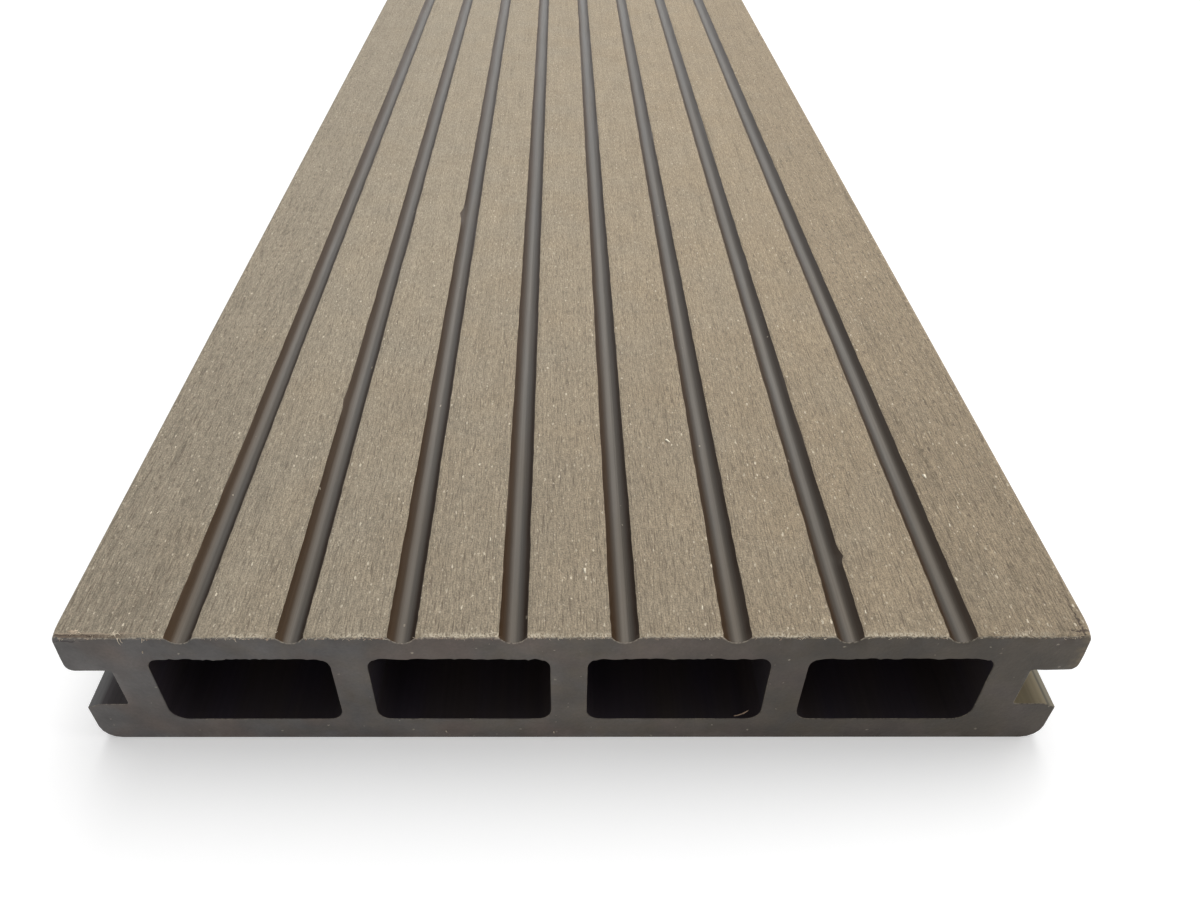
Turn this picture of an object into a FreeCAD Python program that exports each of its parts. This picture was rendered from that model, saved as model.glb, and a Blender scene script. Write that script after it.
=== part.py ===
# Hollow decking board of extruded wood-plastic composite, cut square at both ends.
# One piece: a plate with grooves along its walking face, chambers inside, and a slot for hidden clips
# along each long edge. The section lies in XZ and runs along Y. The origin is the middle of the underside.
import FreeCAD, Part
import math
import os

# The board as it is sold, in millimetres
board_length = 2200.0
board_width = 150.0
board_thickness = 25.0

# Walls round the chambers
chamber_count = 4
top_wall = 5.0
bottom_wall = 5.0
web_wall = 5.5
side_wall = 5.8
chamber_fillet = 2.2
outer_foot_fillet = 2.8

# Slot along each long edge, between the upper flange and the lower lip
flange_thickness = 7.8
slot_height = 8.3
slot_depth = 6.7
slot_fillet = 0.4
lip_chamfer_width = 2.0
lip_chamfer_drop = 0.9

# Rounded long edges
top_edge_fillet = 0.8
flange_foot_fillet = 1.3
lip_foot_fillet = 3.0

# Grooves of the walking face, round at the bottom
groove_count = 8
groove_width = 4.1
groove_depth = 1.5
edge_strip = 16.6

# Sizes that follow from those above
half_width = board_width / 2
slot_ceiling = board_thickness - flange_thickness
slot_floor = slot_ceiling - slot_height
slot_back = half_width - slot_depth
groove_pitch = (board_width - 2 * edge_strip - groove_width) / (groove_count - 1)
groove_radius = (groove_width**2 / 4 + groove_depth**2) / (2 * groove_depth)
chamber_floor = bottom_wall
chamber_ceiling = board_thickness - top_wall
chamber_width = (2 * slot_back - 2 * side_wall - (chamber_count - 1) * web_wall) / chamber_count

ALONG_BOARD = FreeCAD.Vector(0, 1, 0)


def section_point(x, z):
    """A point of the section, on the board's front end."""
    return FreeCAD.Vector(x, -board_length / 2, z)


def fillet_points(before, corner, after, radius):
    """Start, middle and end of the arc that rounds a corner."""
    back = (before - corner).normalize()
    ahead = (after - corner).normalize()
    half_angle = back.getAngle(ahead) / 2
    reach = radius / math.tan(half_angle)
    inward = (back + ahead).normalize()
    middle = corner + inward * (radius / math.sin(half_angle) - radius)
    return corner + back * reach, middle, corner + ahead * reach


def rounded_face(corners):
    """The flat face inside a closed outline. Each corner is its x, its z and its fillet radius."""
    points = [section_point(x, z) for x, z, _ in corners]
    fillets = []
    for i, (_, _, radius) in enumerate(corners):
        after = points[(i + 1) % len(points)]
        fillets.append(fillet_points(points[i - 1], points[i], after, radius))
    edges = []
    for i, (start, middle, end) in enumerate(fillets):
        edges.append(Part.LineSegment(fillets[i - 1][2], start).toShape())
        if corners[i][2] > 0:
            edges.append(Part.Arc(start, middle, end).toShape())
    return Part.Face(Part.Wire(edges))


def edge_corners():
    """Corners of the right-hand long edge, from the underside up to the walking face."""
    return [
        (half_width, 0, lip_foot_fillet),
        (half_width, slot_floor - lip_chamfer_drop, 0),
        (half_width - lip_chamfer_width, slot_floor, 0),
        (slot_back, slot_floor, slot_fillet),
        (slot_back, slot_ceiling, slot_fillet),
        (half_width, slot_ceiling, flange_foot_fillet),
        (half_width, board_thickness, top_edge_fillet),
    ]


def outer_face():
    """The whole outline without grooves or chambers: one long edge and its mirror image."""
    right = edge_corners()
    left = [(-x, z, radius) for x, z, radius in reversed(right)]
    return rounded_face(right + left)


def chamber_face(index):
    """One chamber, counted from the left. The outermost foot corners have a larger fillet."""
    left = -slot_back + side_wall + index * (chamber_width + web_wall)
    right = left + chamber_width
    left_foot = outer_foot_fillet if index == 0 else chamber_fillet
    right_foot = outer_foot_fillet if index == chamber_count - 1 else chamber_fillet
    return rounded_face(
        [
            (left, chamber_floor, left_foot),
            (right, chamber_floor, right_foot),
            (right, chamber_ceiling, chamber_fillet),
            (left, chamber_ceiling, chamber_fillet),
        ]
    )


def groove_face(index):
    """One groove as a disc that dips below the walking face, counted from the left."""
    x = (index - (groove_count - 1) / 2) * groove_pitch
    centre = section_point(x, board_thickness - groove_depth + groove_radius)
    return Part.Face(Part.Wire(Part.makeCircle(groove_radius, centre, ALONG_BOARD)))


def board():
    """The extruded board, cut to length."""
    hollows = [chamber_face(i) for i in range(chamber_count)]
    grooves = [groove_face(i) for i in range(groove_count)]
    section = outer_face().cut(hollows + grooves)
    return section.Faces[0].extrude(ALONG_BOARD * board_length)


os.makedirs("parts", exist_ok=True)
decking_board = board()
decking_board.exportStep("parts/decking_board.step")
print("solids", len(decking_board.Solids), "valid", decking_board.isValid())
print("section area mm2", round(decking_board.Volume / board_length, 1))
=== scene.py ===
# Looks of the hollow decking board: its worn, brushed and sawn surfaces, the light and the camera.
import math

import bpy
import numpy as np
from mathutils import Matrix, Vector
from mathutils.geometry import delaunay_2d_cdt


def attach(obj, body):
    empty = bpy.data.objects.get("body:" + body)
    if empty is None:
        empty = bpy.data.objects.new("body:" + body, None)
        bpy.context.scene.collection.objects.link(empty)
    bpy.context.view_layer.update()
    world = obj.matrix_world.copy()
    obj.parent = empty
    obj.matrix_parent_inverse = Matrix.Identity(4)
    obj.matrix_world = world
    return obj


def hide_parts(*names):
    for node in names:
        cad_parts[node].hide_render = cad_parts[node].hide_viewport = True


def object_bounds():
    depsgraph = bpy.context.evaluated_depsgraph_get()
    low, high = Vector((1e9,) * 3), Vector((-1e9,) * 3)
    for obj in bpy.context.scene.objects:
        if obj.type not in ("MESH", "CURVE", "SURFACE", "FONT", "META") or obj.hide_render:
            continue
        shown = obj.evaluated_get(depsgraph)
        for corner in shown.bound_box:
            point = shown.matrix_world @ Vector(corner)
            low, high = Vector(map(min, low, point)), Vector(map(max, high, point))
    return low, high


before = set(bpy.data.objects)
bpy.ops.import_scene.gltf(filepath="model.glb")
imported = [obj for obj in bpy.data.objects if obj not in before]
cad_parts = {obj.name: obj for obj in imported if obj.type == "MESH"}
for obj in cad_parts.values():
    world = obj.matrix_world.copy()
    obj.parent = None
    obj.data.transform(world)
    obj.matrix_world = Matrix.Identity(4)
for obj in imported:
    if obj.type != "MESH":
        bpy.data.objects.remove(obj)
cad_low, cad_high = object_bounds()

# All sizes below are in millimetres, and MM turns them into the scene's metres.
MM = 0.001
SEED = 7

# The board's size comes from the frame. Its section repeats the solid's values.
WIDTH = (cad_high.x - cad_low.x) / MM
THICKNESS = (cad_high.z - cad_low.z) / MM
NEAR_END = cad_low.y / MM
FAR_END = cad_high.y / MM
LENGTH = FAR_END - NEAR_END
CHAMBERS = 4
TOP_WALL = 5.0
BOTTOM_WALL = 5.0
WEB_WALL = 5.5
SIDE_WALL = 5.8
CHAMBER_FILLET = 2.2
OUTER_FOOT_FILLET = 2.8
FLANGE = 7.8
SLOT_HEIGHT = 8.3
SLOT_DEPTH = 6.7
SLOT_FILLET = 0.4
LIP_CHAMFER_WIDTH = 2.0
LIP_CHAMFER_DROP = 0.9
TOP_EDGE_FILLET = 0.8
FLANGE_FOOT_FILLET = 1.3
LIP_FOOT_FILLET = 3.0
GROOVES = 8
GROOVE_WIDTH = 4.1
GROOVE_DEPTH = 1.5
EDGE_STRIP = 16.6

HALF_WIDTH = WIDTH / 2
HALF_GROOVE = GROOVE_WIDTH / 2
SLOT_CEILING = THICKNESS - FLANGE
SLOT_FLOOR = SLOT_CEILING - SLOT_HEIGHT
SLOT_BACK = HALF_WIDTH - SLOT_DEPTH
CHAMBER_WIDTH = (2 * SLOT_BACK - 2 * SIDE_WALL - (CHAMBERS - 1) * WEB_WALL) / CHAMBERS
GROOVE_PITCH = (WIDTH - 2 * EDGE_STRIP - GROOVE_WIDTH) / (GROOVES - 1)
GROOVE_RADIUS = (GROOVE_WIDTH**2 / 4 + GROOVE_DEPTH**2) / (2 * GROOVE_DEPTH)
GROOVE_CENTRES = [(i - (GROOVES - 1) / 2) * GROOVE_PITCH for i in range(GROOVES)]

# How finely the board is divided
RING_FIRST = 0.35
RING_LONGEST = 30.0
RING_LONGEST_NEAR = 3.0
PHOTOGRAPHED_LENGTH = 380.0
LAND_STEP = 0.55
GROOVE_PIECES = 8
SKIN_STEP = 2.0
BORE_STEP = 0.5
CUT_STEP = 1.6
SHARP_ANGLE = math.radians(38)
TINY = 1e-6

# Traces of making and use
BRUSHED_DEPTH = 0.060
# Each wave in the brushes' depth: height, length across and along the board
BRUSH_WAVES = [(0.022, 0.55, 14), (0.018, 1.4, 40), (0.010, 0.6, 3)]
# The area for each scratch and each tear, their lengths and their depths
SCRATCH_AREA = 120.0
SCRATCH_LENGTHS = (5, 35)
SCRATCH_DEPTHS = (0.03, 0.09)
TEAR_AREA = 22.0
TEAR_LENGTHS = (2, 7)
TEAR_DEPTHS = (0.05, 0.16)
# How far a groove's arris strays, how far that reaches, and how a land's edge is rounded
ARRIS_STRAY = 0.05
ARRIS_REACH = 1.2
LAND_ROUNDING = 0.10
LAND_EDGE = 0.5
# The sawn ends lie a little inside the solid's, with a bevel, torn lands, burr and notches; their bevels are
# painted pale, as torn fibre at the lands and as painted highlight along the other edges and the chambers'
# rims
END_MARGIN = 0.35
CUT_REACH = 1.5
CUT_UNEVENNESS = 0.05
BEVEL = 0.12
FRAYED_BEVEL = 0.08
TORN_REACH = 0.16
END_DROOP = 0.30
FRAY_REACH = 1.3
ARRIS_FRAY_AND_HIGHLIGHT = 0.45
GROOVE_END_FRAY_AND_HIGHLIGHT = 0.8
BORE_RIM_HIGHLIGHT = 0.45
BORE_REACH = 1.2
BORE_BURR = 0.16
FLANGE_BURR = 0.09
NOTCH_DEPTH = 0.35
# Each chip: groove counted from the left, side, distance from the near end, half length, depth into the land
CHIPS = [(1, -1, 60.0, 1.5, 0.5), (2, -1, 139.6, 2.2, 0.7), (6, 1, 16.9, 1.0, 0.5)]
# Each worn corner: x, how far the wear reaches along x, y and z, and its depth
WORN_CORNERS = [(-HALF_WIDTH, (2.5, 3.0, 6.0), 0.35), (HALF_WIDTH, (3.0, 3.5, 7.0), 0.50)]
# Where a worn corner goes: inwards, along the board and down
WORN_TOWARDS = (1, 0.7, -0.35)
# Each lump of burr on a chamber's upper edge: x, half width, how far it hangs
LUMPS = [(-5.8, 0.4, 0.42), (-52.3, 0.9, 0.16), (61.0, 0.7, 0.18)]
# Loose fibres: how many, their lengths and widths, how deep their roots lie, where they are thickest
FIBRES = 900
FIBRE_LENGTHS = (0.2, 0.6)
FIBRE_WIDTHS = (0.04, 0.09)
FIBRE_ROOT = 0.16
FUZZ_LEAST = 0.35
FUZZ_MIDDLE = -25
FUZZ_SPREAD = 32
# How high a fibre that lies on the face is, as a share of its width
FLATNESS = 0.2
TUFT_LENGTHS = (0.5, 1.1)
TUFT_ROOT = 0.045
SPLINTER_ROOT = 0.04
# Below, a fibre's tone goes from -1 for white over 0 for cream to 1 for brown.
# Each tuft on the near arris: x, distance behind the end, its fibres' number, width and tone
TUFTS = [
    (-71.5, 1.0, 16, 0.34, 0.42),
    (-65.4, 0.8, 14, 0.17, 0.05),
    (-60.2, 0.9, 7, 0.14, 0.25),
    (61.0, 0.7, 8, 0.15, 0.10),
    (66.0, 0.9, 9, 0.15, 0.20),
    (-11.1, 0.8, 5, 0.18, 0.0),
]
# Each fibre on the sawn end: x, height of its root, sideways reach, length, thickness, tone
HANGING_FIBRES = [
    (-65.0, 24.8, 0.25, 1.4, 0.16, 0.10),
    (-64.6, 24.7, 0.35, 0.7, 0.10, 0.15),
    (-61.4, 24.7, -0.2, 0.7, 0.12, 0.25),
    (-48.0, 24.7, 0.3, 0.5, 0.10, 0.20),
    (-62.2, 21.9, 0.10, 0.35, 0.20, 0.20),
    (-19.6, 1.9, 0.30, 0.20, 0.20, 0.10),
    (-2.4, 1.7, 0.10, 0.30, 0.22, 0.10),
]
# Each pale splinter in the face: x, distance from the near end, reach across and along, width, tone
SPLINTERS = [
    (60.9, 36.0, 0.10, -1.2, 0.85, -1.0),
    (17.7, 46.0, 0.75, -1.0, 0.72, -1.0),
    (2.5, 14.0, 0.05, -1.3, 0.74, -0.4),
    (61.3, 23.0, 0.10, 0.9, 0.42, -0.3),
    (19.6, 5.5, 0.10, 1.0, 0.36, -0.5),
    (63.9, 27.3, 0.10, 0.9, 0.34, -0.3),
    (-26.9, 34.4, 0.20, 0.8, 0.34, -0.2),
    (28.7, 10.9, 0.10, 0.8, 0.32, -0.2),
    (43.3, 4.7, 0.10, 0.8, 0.34, -0.3),
    (-67.8, 26.7, 0.30, 0.7, 0.34, -0.2),
    (-12.4, 20.0, 0.05, 0.9, 0.32, -0.2),
]
# The curl of swarf at the mouth of the third chamber: its points as x, distance behind the end, z
SWARF = [(26.0, 0.9, 5.1), (26.5, 0.7, 5.5), (27.2, 0.6, 6.1), (27.9, 0.8, 6.5)]
SWARF_THICKNESS = 0.28
SWARF_TONE = 0.65
# Each crack in the face beside the near end: x where it starts and ends, distance, half width
ARRIS_CRACKS = [(-66.0, -70.0, 0.9, 0.08), (70.6, 71.8, 1.5, 0.17)]
# The crack along the right edge: distance where it starts and ends, x, half width
EDGE_CRACK = (12.0, 5.0, 73.6, 0.16)
# The split below the left front corner: x where it starts and ends, depth below the face, half width
CORNER_SPLIT = (-69.5, -71.5, 0.85, 0.13)
CRACK_WANDER = 0.18

# Where the looks change across the board: x where the change starts and is full
INNER_LANDS = (48, 60)
FRAY_FADES = (-58, -66)
CRUSHED_FROM = (-60, -70)
# Where the sawn face is painted darker to the right, as shade
CUT_PAINTED_SHADE = (10, 38)
SCUFFED = (72.9, 74.4)
# Distances from the near end: how far the face is painted darker as shade, and where dark lines get rarer
NEAR_SHADE_LENGTH = 110
LINES_FADE = (40, 160)
# Where the painted shade on a groove's left and right flanks starts and is full, from -1 over 0 in its middle
# to 1
LEFT_FLANK_SHADE = (-0.12, -0.62)
RIGHT_FLANK_SHADE = (0.25, 0.75)

# Colours, as plain linear values
BRUSHED_WARM = (0.318, 0.252, 0.170)
BRUSHED_GREY = (0.305, 0.258, 0.190)
SCRATCH_DARK = (0.11, 0.082, 0.058)
CRACK_DARK = (0.045, 0.030, 0.024)
WOOD_PALE = (0.74, 0.65, 0.50)
SPLINTER_WHITE = (0.95, 0.87, 0.69)
FIBRE_BROWN = (0.34, 0.18, 0.11)
ARRIS_TAN = (0.40, 0.31, 0.23)
ARRIS_BROWN = (0.125, 0.085, 0.063)
GROOVE_BROWN = (0.069, 0.061, 0.051)
GROOVE_GREY = (0.060, 0.058, 0.054)
# Painted shade on the grooves' flanks: brown on the left flank, almost black on the right
FLANK_SHADE_BROWN = (0.030, 0.014, 0.004)
FLANK_SHADE_BLACK = (0.009, 0.004, 0.002)
SKIN_BROWN = (0.080, 0.068, 0.056)
SKIN_GREY = (0.072, 0.068, 0.066)
CUT_BLUE = (0.080, 0.074, 0.071)
CUT_BROWN = (0.093, 0.074, 0.053)
CUT_RED = (0.100, 0.078, 0.066)
SCUFF_OLIVE = (0.150, 0.118, 0.075)
# The chambers' walls, painted almost black as shade
BORE_SHADE_BROWN = (0.018, 0.013, 0.012)
BORE_SHADE_PURPLE = (0.015, 0.011, 0.016)
# Painted light and shade in the slots: shadow in the left slot, light on the right one, lit strips and a
# shade line on the lips
SLOT_SHADOW_DARK = (0.023, 0.017, 0.020)
SLOT_LIT_OLIVE = (0.160, 0.130, 0.075)
LIP_SHADE_DARK = (0.062, 0.052, 0.034)
LIP_HIGHLIGHT_PALE = (0.155, 0.135, 0.092)
LIP_LIT_GREY = (0.086, 0.083, 0.082)
# Each band of painted light and shade along a lip: x where it starts and is full, colour
LIP_LIGHT_BANDS = [(-72.5, -72.9, LIP_LIT_GREY), (73.5, 73.8, LIP_SHADE_DARK), (74.0, 74.3, LIP_HIGHLIGHT_PALE)]

# The studio, in metres
SKY_STRENGTH = 0.32
FLOOR_HALF_SIDE = 15.0
FLOOR_COLOUR = (0.88, 0.88, 0.88)
# How much of its white the floor gives itself near the board, and where that grows to all of it
FLOOR_LIFT = 0.30
FLOOR_WHITENS = (1.6, 4.0)
# Each lamp: name, place, what it faces, width and length, power, whether it shows in reflections
LAMPS = [
    ("overhead", (0.15, 0.9, 2.6), (0.0, 0.3, 0.0), (2.6, 4.2), 86.0, True),
    ("right", (2.4, -0.2, 0.7), (0.07, -0.2, 0.0), (3.0, 0.8), 38.0, False),
    ("front", (-0.5, -3.2, 1.0), (0.0, -1.1, 0.0), (2.0, 1.2), 8.0, False),
]

# The camera stands where the photograph was taken from. Its place is counted from the near end's foot.
CAMERA_FROM_END = Vector((-0.82, -85.26, 127.93))
CAMERA_YAW = -0.80
CAMERA_DOWN = 41.68
CAMERA_ROLL = 0.71
FOCAL_PIXELS = 926.4
PHOTO_SIZE = (1200, 900)
PHOTO_CENTRE = (553.2, 497.4)
SENSOR = 36.0

# Kinds of surface, in the order of the board's materials
SKIN, GROOVE, BRUSHED, CUT, BORE, SLOT = range(6)
# Numbers kept at the mesh's points, for the materials
STORED = ("relief", "fray", "flank")


def value_noise(u, v, seed):
    """Smooth random values from -1 to 1 with one cell for each unit of u and v."""
    rng = np.random.default_rng(seed)
    cell_u = np.floor(u).astype(int)
    cell_v = np.floor(v).astype(int)
    cell_u0 = cell_u.min()
    cell_v0 = cell_v.min()
    table = rng.uniform(-1, 1, (cell_u.max() - cell_u0 + 2, cell_v.max() - cell_v0 + 2))
    blend_u = u - cell_u
    blend_v = v - cell_v
    blend_u = blend_u * blend_u * (3 - 2 * blend_u)
    blend_v = blend_v * blend_v * (3 - 2 * blend_v)
    i = cell_u - cell_u0
    j = cell_v - cell_v0
    low = table[i, j] * (1 - blend_u) + table[i + 1, j] * blend_u
    high = table[i, j + 1] * (1 - blend_u) + table[i + 1, j + 1] * blend_u
    return low * (1 - blend_v) + high * blend_v


def line_noise(u, seed):
    """Smooth random values from -1 to 1 along a line."""
    return value_noise(u, np.zeros_like(u), seed)


def rounded_outline(corners, step):
    """Points along an outline of x, z and fillet radius. The straight runs are divided at the step."""
    points = []
    count = len(corners)
    trims = []
    for i, (x, z, radius) in enumerate(corners):
        corner = np.array([x, z])
        back = np.array(corners[i - 1][:2]) - corner
        ahead = np.array(corners[(i + 1) % count][:2]) - corner
        back = back / np.linalg.norm(back)
        ahead = ahead / np.linalg.norm(ahead)
        half_angle = math.acos(float(back @ ahead)) / 2
        reach = radius / math.tan(half_angle)
        inward = (back + ahead) / np.linalg.norm(back + ahead)
        centre = corner + inward * (radius / math.sin(half_angle))
        trims.append((corner + back * reach, centre, corner + ahead * reach, radius))
    for i, (start, centre, end, radius) in enumerate(trims):
        line_start = trims[i - 1][2]
        run = np.linalg.norm(start - line_start)
        pieces = max(1, math.ceil(run / step))
        points += [line_start + (start - line_start) * k / pieces for k in range(pieces)]
        if radius > 0:
            turn_from = math.atan2(*(start - centre)[::-1])
            turn = math.atan2(*(end - centre)[::-1]) - turn_from
            turn = (turn + math.pi) % (2 * math.pi) - math.pi
            pieces = max(4, math.ceil(abs(turn) * radius / step))
            for k in range(pieces):
                angle = turn_from + turn * k / pieces
                points.append(centre + radius * np.array([math.cos(angle), math.sin(angle)]))
        else:
            points.append(start)
    return np.array([p for i, p in enumerate(points) if np.linalg.norm(p - points[i - 1]) > TINY])


def right_edge_corners():
    """The right-hand long edge, from the underside up to the walking face."""
    return [
        (HALF_WIDTH, 0, LIP_FOOT_FILLET),
        (HALF_WIDTH, SLOT_FLOOR - LIP_CHAMFER_DROP, 0),
        (HALF_WIDTH - LIP_CHAMFER_WIDTH, SLOT_FLOOR, 0),
        (SLOT_BACK, SLOT_FLOOR, SLOT_FILLET),
        (SLOT_BACK, SLOT_CEILING, SLOT_FILLET),
        (HALF_WIDTH, SLOT_CEILING, FLANGE_FOOT_FILLET),
        (HALF_WIDTH, THICKNESS, TOP_EDGE_FILLET),
    ]


def skin_outline(step):
    """The smooth skin: from the walking face's left arris down, under the board and up to its right arris."""
    right = right_edge_corners()
    left = [(-x, z, radius) for x, z, radius in reversed(right)]
    outline = rounded_outline(left + right, step)
    on_top = outline[:, 1] > THICKNESS - TINY
    inner = on_top & (np.abs(outline[:, 0]) < HALF_WIDTH - TOP_EDGE_FILLET - TINY)
    outline = outline[~inner]
    start = int(np.argmin(outline[:, 0] + 1e3 * (outline[:, 1] < THICKNESS - TINY)))
    return np.roll(outline, -start, axis=0)


def face_columns():
    """Columns of the walking face from right to left: x, z and the kind of the strip that follows."""
    columns = []
    swing = math.asin(HALF_GROOVE / GROOVE_RADIUS)

    def add_land(start, end, last=0):
        pieces = math.ceil((start - end) / LAND_STEP)
        for k in range(pieces + last):
            columns.append((start + (end - start) * k / pieces, THICKNESS, BRUSHED))

    land_start = HALF_WIDTH - TOP_EDGE_FILLET
    for centre in reversed(GROOVE_CENTRES):
        add_land(land_start, centre + HALF_GROOVE)
        for k in range(GROOVE_PIECES):
            angle = swing - 2 * swing * k / GROOVE_PIECES
            x = centre + GROOVE_RADIUS * math.sin(angle)
            z = THICKNESS - GROOVE_DEPTH + GROOVE_RADIUS * (1 - math.cos(angle))
            columns.append((x, z, GROOVE))
        land_start = centre - HALF_GROOVE
    add_land(land_start, -HALF_WIDTH + TOP_EDGE_FILLET, last=1)
    return columns


def chamber_outline(index, step):
    """One chamber's outline, counted from the left."""
    left = -SLOT_BACK + SIDE_WALL + index * (CHAMBER_WIDTH + WEB_WALL)
    right = left + CHAMBER_WIDTH
    left_foot = OUTER_FOOT_FILLET if index == 0 else CHAMBER_FILLET
    right_foot = OUTER_FOOT_FILLET if index == CHAMBERS - 1 else CHAMBER_FILLET
    top = THICKNESS - TOP_WALL
    corners = [
        (left, BOTTOM_WALL, left_foot),
        (right, BOTTOM_WALL, right_foot),
        (right, top, CHAMBER_FILLET),
        (left, top, CHAMBER_FILLET),
    ]
    return rounded_outline(corners, step)


def ring_places():
    """Distances of the rings from the near end, closer together at both ends and in the photographed part."""

    def from_an_end(growth, near_length, near_longest):
        places = [0.0]
        spacing = RING_FIRST
        while places[-1] + spacing < LENGTH / 2:
            places.append(places[-1] + spacing)
            limit = near_longest if places[-1] < near_length else RING_LONGEST
            spacing = min(spacing * (1 + growth), limit)
        return places

    near = from_an_end(0.05, PHOTOGRAPHED_LENGTH, RING_LONGEST_NEAR)
    far = from_an_end(0.15, 0, 0)
    return np.array(near + [LENGTH - place for place in reversed(far)])


class Surface:
    """The points and faces of a mesh while it is built, in millimetres."""

    def __init__(self):
        self.points = []
        self.stored = {name: [] for name in STORED}
        self.count = 0
        self.faces = []
        self.kinds = []

    def add(self, points, **values):
        """Adds an array of points, with the numbers stored there. Gives their indices in the same shape."""
        shape = points.shape[:-1]
        number = int(np.prod(shape))
        self.points.append(points.reshape(-1, 3))
        for name in STORED:
            self.stored[name].append(np.broadcast_to(values.get(name, 0.0), shape).reshape(-1))
        indices = np.arange(self.count, self.count + number).reshape(shape)
        self.count += number
        return indices

    def face(self, corners, kind, forward):
        """Adds one face, and turns it round if it isn't forward."""
        self.faces.append(tuple(map(int, corners if forward else corners[::-1])))
        self.kinds.append(kind)

    def grid(self, first, second, kind, inward=False):
        """Joins two lines of points, ring by ring. The solid is left of the way from first to second."""
        for i in range(len(first) - 1):
            self.face((first[i], first[i + 1], second[i + 1], second[i]), kind, not inward)

    def stitch(self, fine, coarse, shared, kind, fine_first):
        """Joins a line with all the rings to one that has only the shared rings."""
        for k in range(len(shared) - 1):
            start, end = shared[k], shared[k + 1]
            middle = (start + end) // 2
            triangles = [(fine[i], fine[i + 1], coarse[k]) for i in range(start, middle)]
            triangles.append((fine[middle], coarse[k + 1], coarse[k]))
            triangles += [(fine[i], fine[i + 1], coarse[k + 1]) for i in range(middle, end)]
            for triangle in triangles:
                self.face(triangle, kind, fine_first)

    def mesh(self, name):
        """The finished mesh, in metres, with the stored numbers at each point."""
        mesh = bpy.data.meshes.new(name)
        points = np.concatenate(self.points) * MM
        mesh.from_pydata(points.tolist(), [], self.faces)
        mesh.polygons.foreach_set("material_index", self.kinds)
        for stored_name, values in self.stored.items():
            attribute = mesh.attributes.new(stored_name, "FLOAT", "POINT")
            attribute.data.foreach_set("value", np.concatenate(values).astype(np.float32))
        mesh.polygons.foreach_set("use_smooth", [True] * len(self.faces))
        mesh.validate()
        mesh.set_sharp_from_angle(angle=SHARP_ANGLE)
        return mesh


def add_scratch(depth, distance, column, start, length, deepest):
    """Cuts one lengthwise scratch into a column of the relief."""
    along = (distance - start) / length
    inside = (along > 0) & (along < 1)
    depth[inside, column] += deepest * np.sin(np.pi * along[inside]) ** 0.5


def face_relief(x, distance):
    """How deep the brushes left the walking face, for columns at x and rings at a distance."""
    rng = np.random.default_rng(SEED)
    columns, rings = np.meshgrid(x, distance)
    depth = BRUSHED_DEPTH
    for number, (height, across, along) in enumerate(BRUSH_WAVES):
        depth = depth + height * value_noise(columns / across, rings / along, SEED + 1 + number)
    for _ in range(int(WIDTH * LENGTH / SCRATCH_AREA)):
        column = rng.integers(len(x))
        start = rng.uniform(-10, LENGTH)
        length = rng.uniform(*SCRATCH_LENGTHS)
        add_scratch(depth, distance, column, start, length, rng.uniform(*SCRATCH_DEPTHS))
    on_strip = np.flatnonzero(np.abs(x) > HALF_WIDTH - EDGE_STRIP + 1)
    for _ in range(int(2 * EDGE_STRIP * PHOTOGRAPHED_LENGTH / TEAR_AREA)):
        column = rng.choice(on_strip)
        start = rng.uniform(0, PHOTOGRAPHED_LENGTH) * rng.uniform(0.2, 1)
        length = rng.uniform(*TEAR_LENGTHS)
        add_scratch(depth, distance, column, start, length, rng.uniform(*TEAR_DEPTHS))
    return depth


def arris_wander(distance, index, side):
    """How far a groove's arris strays into its land along the board. side is -1 for the left arris."""
    seed = SEED + 10 + 2 * index + (side > 0)
    stray = ARRIS_STRAY * line_noise(distance / 1.3, seed)
    stray += ARRIS_STRAY * line_noise(distance / 6, seed + 40)
    for groove, chip_side, place, length, depth in CHIPS:
        if (groove, chip_side) == (index, side):
            stray += depth * np.exp(-(((distance - place) / length) ** 2))
    return stray


def worn(points):
    """Rounds the worn corners of the near end."""
    for x, reach, depth in WORN_CORNERS:
        gap = points - np.array([x, NEAR_END, THICKNESS])
        far = np.linalg.norm(gap / np.array(reach), axis=-1)
        pull = depth * np.clip(1 - far, 0, 1) ** 1.5
        points = points + pull[..., None] * np.array([-math.copysign(1, x), 1, 1]) * WORN_TOWARDS
    return points


def arris_shift(x, on_land, distance):
    """How far the columns beside the grooves move across, by ring and column, to follow the arrises."""
    shift = np.zeros((len(distance), len(x)))
    for index, centre in enumerate(GROOVE_CENTRES):
        for side in (-1, 1):
            gap = (x - (centre + side * HALF_GROOVE)) * side
            in_groove = (np.abs(x - centre) < HALF_GROOVE - TINY) & (gap > -HALF_GROOVE)
            weight = np.where(on_land, np.clip(1 - gap / ARRIS_REACH, 0, 1) * (gap > -TINY), 0)
            weight = np.where(in_groove, (np.clip(side * (x - centre), 0, None) / HALF_GROOVE) ** 4, weight)
            shift += side * arris_wander(distance, index, side)[:, None] * weight
    return shift


def end_offsets(distance, x, on_land):
    """How far each ring's points lie from the ring: the cut's small bevel, with torn lands."""
    share = np.clip(1 - distance / CUT_REACH, 0, 1)[:, None]
    far_share = np.clip(1 - (LENGTH - distance) / CUT_REACH, 0, 1)[:, None]
    torn = 0.5 + 0.5 * line_noise(x / 0.7, SEED + 70)
    near = END_MARGIN + np.where(on_land, BEVEL + TORN_REACH * torn, BEVEL)
    return near * share - near[::-1] * far_share


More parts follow.
